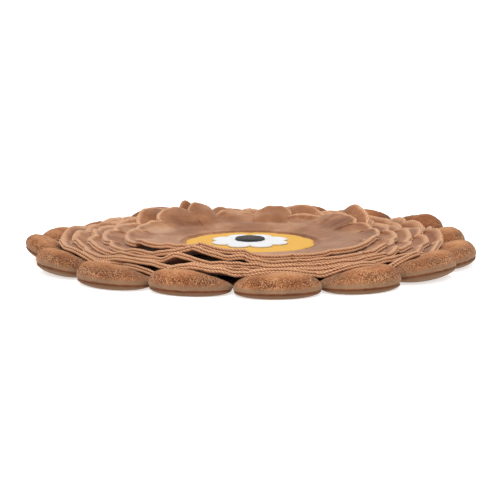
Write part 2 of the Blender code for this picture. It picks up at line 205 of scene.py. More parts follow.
# reach, plump, lift, skew, crease_side, crease_depth: how far out the tip lies, how thick the lobe is,
# how much its tip is lifted, how far its crown leans to its right side (towards -1, to its left), where
# a crease runs along it (-1 and 1 are its sides), and how deep that is.
LOBES = (
    (0.2570, 0.0265, 0.000, 0.00, 0.45, 0.0010),
    (0.2560, 0.0285, 0.000, 0.30, 0.30, 0.0016),
    (0.2560, 0.0290, 0.007, 0.30, -0.10, 0.0022),
    (0.2515, 0.0275, 0.005, 0.20, 0.25, 0.0015),
    (0.2420, 0.0265, 0.009, 0.10, -0.30, 0.0010),
    (0.2475, 0.0280, 0.011, -0.10, 0.10, 0.0012),
    (0.2460, 0.0280, 0.004, 0.10, -0.35, 0.0014),
    (0.2480, 0.0290, 0.000, -0.15, 0.20, 0.0012),
    (0.2450, 0.0225, 0.000, 0.10, -0.15, 0.0010),
    (0.2470, 0.0285, 0.003, -0.10, 0.35, 0.0014),
    (0.2430, 0.0200, 0.000, 0.10, 0.05, 0.0010),
    (0.2450, 0.0230, 0.003, 0.00, -0.25, 0.0012),
    (0.2475, 0.0240, 0.013, 0.10, 0.15, 0.0012),
    (0.2500, 0.0275, 0.006, -0.15, 0.10, 0.0018),
    (0.2520, 0.0275, 0.001, -0.30, -0.05, 0.0022),
    (0.2470, 0.0275, 0.000, -0.30, -0.30, 0.0020),
)


def lobe_taper(along):
    """1 up to LOBE_ROUND_FROM, and from there a quarter of an ellipse down to 0 at the tip."""
    rounding = np.clip((along - LOBE_ROUND_FROM) / (1 - LOBE_ROUND_FROM), 0.0, 1.0)
    return np.sqrt(1 - rounding**2)


def lobe_section(lobe, along):
    """Radius, half width, seam height and stuffed thickness of a lobe's section, from the share along."""
    reach, plump, lift = lobe[:3]
    radius = LOBE_ROOT + (reach - LOBE_ROOT) * along
    half_width = (radius * math.tan(LOBE_PITCH / 2) - LOBE_SIDE_GAP) * lobe_taper(along)
    full = LOBE_ROOT_THICKNESS + (plump - LOBE_ROOT_THICKNESS) * smooth_step(along / LOBE_FULL_FROM)
    seam = LOBE_SEAM_SHARE * full + lift * along**3
    return radius, half_width, seam, full * lobe_taper(along) ** LOBE_TIP_POWER


def lobe_crown(lobe, seam, thick, across):
    """Height of the upper cloth: a blunt arch over the seam, (1 - across^2) to half the bluntness, that
    leans to one side by the lobe's skew."""
    arch = np.maximum(1 - across**2, 0.0) ** (LOBE_BLUNTNESS / 2)
    return seam + (1 - LOBE_SEAM_SHARE) * thick * arch * (1 + lobe[3] * across) / (1 + lobe[3] ** 2 / 2)


def plush_group():
    """Short brushed pile, as a group: slanting strokes of lighter and darker fibre over soft cloudy
    patches of nap. Strokes says how strong the strokes are. The other number shifts the tone, lighter
    above 0 and darker below it, and holds both the nap and painted light and painted shade."""
    group = bpy.data.node_groups.new("plush pile", "ShaderNodeTree")
    for name, kind, value in (
        ("Place", "NodeSocketVector", (0, 0, 0)),
        ("Dark", "NodeSocketColor", (0.2, 0.08, 0.04, 1)),
        ("Middle", "NodeSocketColor", (0.4, 0.2, 0.1, 1)),
        ("Light", "NodeSocketColor", (0.6, 0.35, 0.2, 1)),
        ("Strokes", "NodeSocketFloat", 0.5),
        ("Nap and painted light", "NodeSocketFloat", 0.0),
    ):
        socket = group.interface.new_socket(name, in_out="INPUT", socket_type=kind)
        socket.default_value = value
    for name, kind in (("Color", "NodeSocketColor"), ("Height", "NodeSocketFloat")):
        group.interface.new_socket(name, in_out="OUTPUT", socket_type=kind)
    nodes, links = group.nodes, group.links
    given = nodes.new("NodeGroupInput")
    result = nodes.new("NodeGroupOutput")

    def add(kind, **values):
        node = nodes.new(kind)
        for key, value in values.items():
            node.inputs[key].default_value = value
        return node

    def compute(operation, first, second):
        node = nodes.new("ShaderNodeMath")
        node.operation = operation
        for socket, value in zip(node.inputs, (first, second)):
            if isinstance(value, float):
                socket.default_value = value
            else:
                links.new(value, socket)
        return node.outputs[0]

    def uneven(noise, amount):
        return compute("MULTIPLY", compute("SUBTRACT", noise.outputs["Fac"], 0.5), amount)

    # Strokes are a little over 1 mm long, clumps 7 mm, patches 35 mm, and single fibres under 1 mm.
    stretch = add("ShaderNodeMapping", Scale=(880.0, 880.0, 600.0), Rotation=(0.5, 0.3, 0))
    strokes = add("ShaderNodeTexNoise", Scale=1.0, Detail=1.0, Roughness=0.6, Distortion=0.4)
    clumps = add("ShaderNodeTexNoise", Scale=150.0, Detail=3.0, Roughness=0.6, Distortion=0.4)
    patches = add("ShaderNodeTexNoise", Scale=28.0, Detail=2.0, Roughness=0.5, Distortion=0.8)
    fibre = add("ShaderNodeTexNoise", Scale=1500.0, Detail=2.0, Roughness=0.6)
    links.new(given.outputs["Place"], stretch.inputs["Vector"])
    links.new(stretch.outputs["Vector"], strokes.inputs["Vector"])
    for node in (clumps, patches, fibre):
        links.new(given.outputs["Place"], node.inputs["Vector"])

    stroke = uneven(strokes, given.outputs["Strokes"])
    fine = uneven(fibre, 0.25)
    rough = compute("ADD", stroke, compute("MULTIPLY", uneven(clumps, 0.40), 0.7))
    # Fine fibre plus the painted tone shift, which holds the nap, painted highlights and painted shade.
    tone_shift = compute("ADD", fine, given.outputs["Nap and painted light"])
    tone = compute("ADD", compute("ADD", rough, uneven(patches, 0.8)), tone_shift)
    # A tone of -0.42 is dark, 0 is middle and 0.42 is light.
    darker = add("ShaderNodeMapRange")
    darker.inputs["From Min"].default_value = -0.42
    darker.inputs["From Max"].default_value = 0.0
    lighter = add("ShaderNodeMapRange")
    lighter.inputs["From Min"].default_value = 0.0
    lighter.inputs["From Max"].default_value = 0.42
    low, high = nodes.new("ShaderNodeMix"), nodes.new("ShaderNodeMix")
    low.data_type = high.data_type = "RGBA"
    links.new(tone, darker.inputs["Value"])
    links.new(tone, lighter.inputs["Value"])
    links.new(darker.outputs["Result"], low.inputs["Factor"])
    links.new(given.outputs["Dark"], low.inputs["A"])
    links.new(given.outputs["Middle"], low.inputs["B"])
    links.new(lighter.outputs["Result"], high.inputs["Factor"])
    links.new(low.outputs["Result"], high.inputs["A"])
    links.new(given.outputs["Light"], high.inputs["B"])
    links.new(high.outputs["Result"], result.inputs["Color"])
    links.new(compute("ADD", rough, fine), result.inputs["Height"])
    return group


def lay_pile(nodes, links, group, dark, middle, light):
    """A pile group in a material, on object coordinates. One paint says where the strokes show, and the
    other shifts the tone, for the nap and for painted light and painted shade."""
    pile = nodes.new("ShaderNodeGroup")
    pile.node_tree = group
    place = nodes.new("ShaderNodeTexCoord")
    links.new(place.outputs["Object"], pile.inputs["Place"])
    for name, colour in (("Dark", dark), ("Middle", middle), ("Light", light)):
        pile.inputs[name].default_value = (*colour, 1.0)
    for name, paint in (("Strokes", "strokes"), ("Nap and painted light", "nap_and_painted_light")):
        read = nodes.new("ShaderNodeAttribute")
        read.attribute_name = paint
        links.new(read.outputs["Fac"], pile.inputs[name])
    return pile


pile_group = plush_group()
rim_plush, shader, nodes, links = new_finish("rim plush", 0.95, 0.30, 0.35, (1.0, 0.74, 0.52))
pile = lay_pile(nodes, links, pile_group, (0.135, 0.040, 0.014), (0.325, 0.114, 0.042), (0.68, 0.335, 0.160))
relief = nodes.new("ShaderNodeBump")
relief.inputs["Distance"].default_value = 0.0012
relief.inputs["Strength"].default_value = 0.8
# A paler, greyer colour is mixed in where its paint says: painted light bounced from the floor low on
# the side, and a greyer tone over the lower cloth.
read_bounce_and_grey = nodes.new("ShaderNodeAttribute")
read_bounce_and_grey.attribute_name = "bounce_and_grey"
bounce_grey_mix = nodes.new("ShaderNodeMix")
bounce_grey_mix.data_type = "RGBA"
bounce_grey_mix.inputs["B"].default_value = (0.195, 0.135, 0.085, 1)
links.new(read_bounce_and_grey.outputs["Fac"], bounce_grey_mix.inputs["Factor"])
links.new(pile.outputs["Color"], bounce_grey_mix.inputs["A"])
links.new(bounce_grey_mix.outputs["Result"], shader.inputs["Base Color"])
links.new(pile.outputs["Height"], relief.inputs["Height"])
links.new(relief.outputs["Normal"], shader.inputs["Normal"])

# Rows run from the root to the tip, closer together where the tip rounds off. Columns run round the
# section, from one seam over the top to the other and back underneath.
straight = np.linspace(0.0, LOBE_ROUND_FROM, LOBE_STRAIGHT_ROWS, endpoint=False)
rounding = np.sin(np.linspace(0, 0.975, LOBE_ROUND_ROWS) * math.pi / 2)
along = np.concatenate([straight, LOBE_ROUND_FROM + (1 - LOBE_ROUND_FROM) * rounding])[:, None]
over = np.linspace(0, math.pi, LOBE_UPPER_COLUMNS, endpoint=False)
beneath = np.linspace(math.pi, 2 * math.pi, LOBE_LOWER_COLUMNS, endpoint=False)
theta = np.concatenate([over, beneath])[None, :]

for index, lobe in enumerate(LOBES):
    crease_side, crease_depth = lobe[4:]
    radius, half_width, seam, thick = lobe_section(lobe, along)
    across, up = np.cos(theta), np.sin(theta)
    above = lobe_crown(lobe, seam, thick, across)
    below = np.maximum(seam + LOBE_UNDERSIDE_FULLNESS * LOBE_SEAM_SHARE * thick * up, 0.0)
    x, y, z = np.broadcast_arrays(radius, half_width * across, np.where(up >= 0, above, below))
    # The seam pulls the cloth in all round: sideways along the lobe, and back towards it at the tip.
    from_seam = np.abs(z - seam)
    pinch = SEAM_PINCH * np.exp(-((from_seam / SEAM_HALF_WIDTH) ** 2)) * smooth_step(along * 4)
    pucker = 1 + 0.5 * ripple(300 + index, PUCKER_SIZE, x, y)
    core = LOBE_ROOT + (lobe[0] - LOBE_ROOT) * LOBE_ROUND_FROM
    out_x, out_y = np.maximum(x - core, 0.0), y
    reach = np.maximum(np.hypot(out_x, out_y), 1e-6)
    x = x - pinch * pucker * out_x / reach
    y = y - pinch * pucker * out_y / reach
    # Stuffing and pile: a crease along the top, soft lumps, and clumps of fibre.
    loose = smooth_step((along - 0.25) / 0.3) * np.maximum(up, 0.0)
    crease_y = crease_side * half_width * (0.4 + 0.6 * along)
    crease = np.exp(-(((y - crease_y) / CREASE_HALF_WIDTH) ** 2)) * np.sin(math.pi * along) ** 1.5
    lumps = LUMP_HEIGHT * ripple(400 + index, LUMP_SIZE, x, y, z)
    clumps = CLUMP_HEIGHT * ripple(500 + index, CLUMP_SIZE, x, y, z)
    z = z + loose * (lumps + clumps - crease_depth * crease)
    z = np.maximum(z, 0.0)
    heading = FIRST_LOBE + index * LOBE_PITCH
    grid = np.stack(
        [x * math.sin(heading) + y * math.cos(heading), -x * math.cos(heading) + y * math.sin(heading), z], -1
    )
    tip_seam = float(lobe_section(lobe, 1.0)[2])
    reach_in = lobe[0] - SEAM_PINCH
    ends = [
        (LOBE_ROOT * math.sin(heading), -LOBE_ROOT * math.cos(heading), LOBE_ROOT_THICKNESS / 2),
        (reach_in * math.sin(heading), -reach_in * math.cos(heading), tip_seam),
    ]
    around = np.concatenate([theta[0], [2 * math.pi]])
    uv_u = around[None] * LOBE_MEAN_RADIUS + 0.37 * index
    uv = np.stack(np.broadcast_arrays(uv_u, along * LOBE_LENGTH), -1)
    # The strokes show in a band half way up, where the pile is a little darker. Above it the top is
    # painted lighter, a painted highlight. Low on the side a paler, greyer colour is painted in, light
    # bounced from the floor. The seam's crease is painted dark as painted shade, and the lower cloth is a
    # darker cloth, painted darker still as painted shade.
    level = (z - seam) / lobe[1]
    clumped = smooth_step(0.5 + 1.4 * ripple(600 + index, 0.03, x, y, z))
    middle_band = np.exp(-(((level - 0.38) / 0.17) ** 2))
    strokes = 0.35 + 3.7 * middle_band * (0.5 + 0.5 * clumped)
    low_band = np.exp(-(((level - 0.10) / 0.13) ** 2)) * smooth_step(along * 2) * (up > 0)
    under = (up < 0) * np.ones_like(z)
    # Painted highlight: the top of each lobe is painted lighter.
    top_band = smooth_step((level - 0.48) / 0.25)
    # Painted shade: the lobes at the back are painted darker.
    painted_shade = 0.24 * float(smooth_step((-math.cos(heading) - 0.2) / 0.3))
    # The lower cloth is a darker cloth, and it is painted darker still as painted shade.
    nap_and_painted_light = 0.02 - painted_shade - 0.12 * middle_band + 0.22 * top_band - 0.82 * under
    # Painted shade in the crease of the seam.
    seam_line = np.exp(-((from_seam / 0.0012) ** 2)) * smooth_step(along * 3)
    nap_and_painted_light -= 0.75 * seam_line
    # Painted light bounced from the floor: a paler, greyer colour low on the side, and a greyer tone over the
    # lower cloth.
    bounce_and_grey = (0.75 * low_band + 0.5 * under) * (1 - seam_line)
    paints = {"strokes": strokes, "nap_and_painted_light": nap_and_painted_light, "bounce_and_grey": bounce_and_grey}
    piece = sew_skin(f"lobe_{index + 1:02d}", grid, ends, uv, paints, rim_plush)
    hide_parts(f"rim_lobe_{index + 1:02d}")


# Petal discs: each is two plush cloths sewn together and turned, with 14 to 16 scallops. The stack is
# stitched down under the applique, and each disc lies on the one below and ripples free at its edge.
SEWN_RADIUS = 0.075
SEWN_THICKNESS = 0.0017
SEWN_GAP = 0.0003
LOOSE_FROM = 0.105
FIELD_HALF = 0.0014
HEM_HALF = 0.0029
HEM_WIDTH = 0.0060
HEM_ROW = 0.0011
REST_GAP = 0.0005
RIM_ALLOWANCE = 0.0008
SETTLE = 0.0012
SLANT_LIMIT = 2.2
SCALLOP_ROUNDNESS = 2.8
SCALLOP_SKEW = 0.6
SHINGLE = 0.0026
NOTCH_CLOSED = 0.80
CREASE_SHARE = 0.28
BACK_SHARPNESS = 3
EDGE_HALF = 0.00135
TIP_RING = 0.16
CRUMPLE_HEIGHT, CRUMPLE_SIZE = 0.0021, 0.055
FLUTTER_HEIGHT, FLUTTER_SIZE = 0.0008, 0.018
RUMPLE_HEIGHT, RUMPLE_SIZE = 0.0009, 0.032

# number, tip, notch, notch_height, front_rise, back_rise, front_ramp: the radii of the scallops' tips and
# notches, the height of the notches' underside, how much higher the tips are at the front and at the back,
# and the power by which the front climbs.
DISCS = (
    (1, 0.214, 0.200, 0.0145, 0.000, 0.004, 3.5),
    (2, 0.198, 0.183, 0.0145, -0.001, 0.005, 2.8),
    (3, 0.181, 0.166, 0.0140, -0.002, 0.008, 1.8),
    (4, 0.164, 0.147, 0.0160, -0.001, 0.008, 0.9),
    (5, 0.144, 0.126, 0.0235, -0.001, 0.002, 0.9),
)

# The bearings of each disc's notches, in degrees. Most petals are 20 degrees wide, and a few at the front
# and sides run into one.
NOTCHES = (
    (-2, 18, 38, 58, 78, 98, 118, 138, 158, 178, 198, 218, 238, 278, 318, 338),
    (-7, 13, 33, 53, 73, 93, 113, 133, 153, 173, 193, 213, 233, 258, 293, 333),
    (3, 23, 43, 63, 83, 103, 123, 143, 163, 183, 203, 223, 243, 268, 303, 343),
    (-2, 18, 48, 78, 98, 118, 143, 168, 183, 203, 213, 238, 258, 288, 318, 338),
    (-2, 18, 38, 68, 98, 115, 158, 178, 198, 213, 233, 263, 298, 338),
)

# disc, bearing, half_width, rise, crease: the petals that stand up with a round head, and the share of
# the way from the stitching to the edge where each is creased.
HEADS = (
    (4, 129, 11, 0.0175, 0.66),
    (4, 155.5, 12, 0.0090, 0.66),
    (4, 190, 13, 0.0050, 0.66),
    (4, 208, 6, 0.0170, 0.66),
    (4, 225.5, 12.5, 0.0160, 0.60),
    (5, 136.5, 21.5, 0.0035, 0.28),
    (5, 168, 10, 0.0070, 0.28),
    (5, 188, 10, 0.0010, 0.28),
    (5, 205.5, 7.5, 0.0090, 0.28),
    (5, 223, 10, 0.0075, 0.28),
)

# disc, bearing, half_width, pull: where an edge is drawn in.
TUCKS = (
    (1, -38, 26, 0.0150),
    (5, -98, 34, 0.0090),
)

# disc, bearing, half_width, rise: the folds that lift or sink a stretch of an edge.
FOLDS = (
    (1, -14, 16, 0.009),
    (1, -33, 18, -0.010),
    (1, -72, 12, 0.010),
    (1, 100, 14, 0.006),
    (2, 40, 20, 0.005),
    (2, -38, 24, 0.0075),
    (2, -95, 12, 0.005),
    (3, -24, 12, 0.018),
    (3, -46, 14, 0.008),
    (3, -6, 16, 0.0105),
    (3, 64, 12, 0.006),
    (4, -22, 27, 0.0165),
    (4, -3, 10, 0.008),
    (4, 80, 12, 0.004),
    (5, -30, 46, 0.007),
    (5, 24, 34, -0.004),
    (5, 106, 10, -0.002),
    (5, 121, 22, 0.004),
    (5, 149, 14, -0.006),
    (5, 214, 20, 0.006),
    (5, 246, 14, -0.009),
)


def scallop_place(disc, bearing):
    """Place within a scallop: 0 and 1 at its notches, 0.5 at its middle."""
    notches = np.array(NOTCHES[disc[0] - 1])
    notches = np.append(notches, notches[0] + 360)
    turned = (np.degrees(bearing) - notches[0]) % 360 + notches[0]
    before = np.clip(np.searchsorted(notches, turned, side="right") - 1, 0, len(notches) - 2)
    return (turned - notches[before]) / (notches[before + 1] - notches[before])


def turn_away(bearing, other):
    """The angle between two bearings, in degrees."""
    return np.abs((np.degrees(bearing) - other + 180) % 360 - 180)


def side_share(bearing):
    """1 at the right, -1 at the left, 0 at the front and over the back half."""
    return np.sin(bearing) * (1 + np.tanh(np.cos(bearing) * 4 + 1)) / 2


def edge_radius(disc, bearing):
    """Each scallop bulges as a superellipse from its notches out to its tip, which leans to the rear at
    the sides. Over the front the petals crowd together, which closes part of each notch."""
    place, side = scallop_place(disc, bearing), SCALLOP_SKEW * side_share(bearing)
    leaning = np.where(side > 0, place ** (1 + np.abs(side)), 1 - (1 - place) ** (1 + np.abs(side)))
    offset = np.minimum(np.abs(2 * leaning - 1), 1.0)
    bulge = (1 - offset**SCALLOP_ROUNDNESS) ** (1 / SCALLOP_ROUNDNESS)
    closed = NOTCH_CLOSED * ((1 + np.cos(bearing)) / 2) ** 1.2
    radius = disc[1] - (disc[1] - disc[2]) * (1 - bulge) * (1 - closed)
    for number, tuck_bearing, half_width, pull in TUCKS:
        if number == disc[0]:
            away = np.minimum(turn_away(bearing, tuck_bearing) / half_width, 1.0)
            radius = radius - pull * (1 + np.cos(math.pi * away)) / 2
    return radius


def back_share(bearing):
    """0 over the front and 1 at the back: half of 1 - cos b, cubed."""
    return ((1 - np.cos(bearing)) / 2) ** BACK_SHARPNESS


def edge_height(disc, bearing):
    """The edge's height if nothing lay under it and no petal stood up: the notches' height, the scallops'
    rise, the folds as cosine bells, and a little crumple and flutter. At the sides each petal climbs
    towards the rear, like a shingle, and drops to the next."""
    place = scallop_place(disc, bearing)
    middle = (1 - np.cos(2 * math.pi * place)) / 2
    height = disc[3] + (disc[4] + (disc[5] - disc[4]) * back_share(bearing)) * middle
    height = height + SHINGLE * side_share(bearing) * (2 * place - 1) * (1 - np.abs(2 * place - 1) ** 9)
    for number, fold_bearing, half_width, rise in FOLDS:
        if number == disc[0]:
            away = np.minimum(turn_away(bearing, fold_bearing) / half_width, 1.0)
            height = height + rise * (1 + np.cos(math.pi * away)) / 2
    ring_x, ring_y = TIP_RING * np.cos(bearing), TIP_RING * np.sin(bearing)
    crumple = CRUMPLE_HEIGHT * ripple(750 + disc[0], CRUMPLE_SIZE, ring_x, ring_y)
    return height + crumple + FLUTTER_HEIGHT * ripple(700 + disc[0], FLUTTER_SIZE, ring_x, ring_y)


def stand_up(share, crease):
    """Flat as far as the crease, then a quarter of a sine wave up to 1 at the edge."""
    return np.sin(math.pi / 2 * np.clip((share - crease) / (1 - crease), 0.0, 1.0)) ** 1.15


def free_middle(disc, bearing, radius, sewn):
    """Height of the disc's middle surface where nothing holds it up. At the front it climbs as a power
    of the share of the way from the stitching to the edge. At the back it stands up from a crease, and
    each upright petal adds its own round head from a crease of its own."""
    share = (radius - SEWN_RADIUS) / (edge_radius(disc, bearing) - SEWN_RADIUS)
    share = np.clip(share, 0.0, 1.0)
    back = back_share(bearing) ** 0.6
    rise = edge_height(disc, bearing) + EDGE_HALF - sewn
    x, y = radius * np.sin(bearing), -radius * np.cos(bearing)
    rumple = RUMPLE_HEIGHT * smooth_step(share / 0.6) * ripple(770 + disc[0], RUMPLE_SIZE, x, y)
    height = sewn + rise * ((1 - back) * share ** disc[6] + back * stand_up(share, CREASE_SHARE)) + rumple
    for number, head_bearing, half_width, head_rise, crease in HEADS:
        if number == disc[0]:
            away = np.minimum(turn_away(bearing, head_bearing) / half_width, 1.0)
            height = height + head_rise * (1 - away**2.4) ** 0.6 * stand_up(share, crease)
    return height


def half_thickness(disc, bearing, radius):
    """Thin where the stack is stitched down, thicker in the field, and thickest along the hem."""
    loose = smooth_step((radius - SEWN_RADIUS) / (LOOSE_FROM - SEWN_RADIUS))
    hem = smooth_step((radius - edge_radius(disc, bearing) + 1.6 * HEM_WIDTH) / HEM_WIDTH)
    field = SEWN_THICKNESS / 2 + (FIELD_HALF - SEWN_THICKNESS / 2) * loose
    return field + (HEM_HALF - FIELD_HALF) * hem


def rim_top(bearing, radius):
    """Height of the pad and the lobes, as a function of bearing and radius."""
    number = np.round((bearing - FIRST_LOBE) / LOBE_PITCH)
    turn = bearing - FIRST_LOBE - number * LOBE_PITCH
    table = np.array(LOBES)[number.astype(int) % LOBE_COUNT]
    lobe = np.moveaxis(table, -1, 0)
    forward = radius * np.cos(turn)
    along = np.clip((forward - LOBE_ROOT) / (lobe[0] - LOBE_ROOT), 0.0, 0.985)
    half_width, seam, thick = lobe_section(lobe, along)[1:]
    across = np.clip(radius * np.sin(turn) / half_width, -1.0, 1.0)
    top = lobe_crown(lobe, seam, thick, across)
    return np.where(forward > LOBE_ROOT, np.maximum(top, PAD_THICKNESS), PAD_THICKNESS)


LATTICE_RADII = np.arange(0.0, 0.2170, 0.0010)
LATTICE_BEARINGS = np.arange(720) * 2 * math.pi / 720


def look_up(lattice, bearing, radius):
    """A height from the lattice of bearings and radii, straight lines between its points."""
    b = (bearing / (2 * math.pi) % 1.0) * len(LATTICE_BEARINGS)
    r = np.clip(radius / LATTICE_RADII[1], 0, len(LATTICE_RADII) - 1.001)
    b0, r0 = np.floor(b).astype(int), np.floor(r).astype(int)
    fb, fr = b - b0, r - r0
    b0, b1 = b0 % len(LATTICE_BEARINGS), (b0 + 1) % len(LATTICE_BEARINGS)
    low = lattice[b0, r0] * (1 - fr) + lattice[b0, r0 + 1] * fr
    high = lattice[b1, r0] * (1 - fr) + lattice[b1, r0 + 1] * fr
    return low * (1 - fb) + high * fb


def settle(free, support):
    """The free height well above the support, and just on it where the free height is below: the support
    plus a soft step of what is free above it, the log of 1 + e^x."""
    return support + SETTLE * np.logaddexp(0.0, (free - support) / SETTLE)


def middle_surface(disc, bearing, radius, below, sewn):
    """Height of the disc's middle surface: free, or lying on the lattice of what is below it."""
    half = half_thickness(disc, bearing, radius)
    free = free_middle(disc, bearing, radius, sewn)
    support = look_up(below, bearing, radius) + REST_GAP + half
    return np.where(radius <= SEWN_RADIUS, sewn, settle(free, support))


def lay_stitches(nodes, links, pile):
    """Rows of overlock stitches along the hem: slanting ribs from the cloth map, where the paint hem is.
    Returns their colour and height, laid over the pile's."""
    cloth = nodes.new("ShaderNodeUVMap")
    cloth.uv_map = "cloth"
    slant = nodes.new("ShaderNodeMapping")
    slant.inputs["Rotation"].default_value = (0, 0, 0.5)
    ribs = nodes.new("ShaderNodeTexWave")
    ribs.inputs["Scale"].default_value = 105.0
    ribs.inputs["Distortion"].default_value = 2.5
    ribs.inputs["Detail"].default_value = 2.0
    ribs.inputs["Detail Scale"].default_value = 1.5
    hem = nodes.new("ShaderNodeAttribute")
    hem.attribute_name = "hem"
    amount = nodes.new("ShaderNodeMath")
    amount.operation = "MULTIPLY"
    height = nodes.new("ShaderNodeMath")
    height.operation = "MULTIPLY_ADD"
    height.inputs[1].default_value = 0.5
    shade = nodes.new("ShaderNodeMix")
    shade.data_type = "RGBA"
    shade.blend_type = "OVERLAY"
    tone = nodes.new("ShaderNodeValToRGB")
    tone.color_ramp.elements[0].color = (0.28, 0.22, 0.19, 1)
    tone.color_ramp.elements[1].color = (0.78, 0.75, 0.72, 1)
    links.new(cloth.outputs["UV"], slant.inputs["Vector"])
    links.new(slant.outputs["Vector"], ribs.inputs["Vector"])
    links.new(ribs.outputs["Fac"], amount.inputs[0])
    links.new(hem.outputs["Fac"], amount.inputs[1])
    links.new(amount.outputs[0], height.inputs[0])
    links.new(pile.outputs["Height"], height.inputs[2])
    links.new(ribs.outputs["Fac"], tone.inputs["Fac"])
    links.new(hem.outputs["Fac"], shade.inputs["Factor"])
    links.new(pile.outputs["Color"], shade.inputs["A"])
    links.new(tone.outputs["Color"], shade.inputs["B"])
    return shade.outputs["Result"], height.outputs[0]


petal_plush, shader, nodes, links = new_finish("petal plush", 0.95, 0.5, 0.4, (1.0, 0.80, 0.68))
pile = lay_pile(nodes, links, pile_group, (0.15, 0.052, 0.022), (0.345, 0.148, 0.070), (0.62, 0.355, 0.205))
colour, height = lay_stitches(nodes, links, pile)
relief = nodes.new("ShaderNodeBump")
relief.inputs["Distance"].default_value = 0.0008
relief.inputs["Strength"].default_value = 0.7
links.new(colour, shader.inputs["Base Color"])
links.new(height, relief.inputs["Height"])
links.new(relief.outputs["Normal"], shader.inputs["Normal"])

# The hem's profile, as inset from the edge and offset from the middle surface, in hem half thicknesses:
# over the upper cloth's rolled edge, into the groove where the two cloths meet, and round the lower one.
ROLL_ROWS = 9
bend = np.radians(np.linspace(90, -62, ROLL_ROWS))
inset, side = (1 - np.cos(bend)) / 2, (1 + np.sin(bend)) / 2
into_groove = smooth_step((np.arange(ROLL_ROWS) - 5) / 4)
hem_inset = np.concatenate([inset, [0.62], inset[::-1]])[:, None]
hem_side = np.concatenate([side, [0.0], -side[::-1]])[:, None]
is_groove = np.concatenate([into_groove, [1.0], into_groove[::-1]])[:, None]

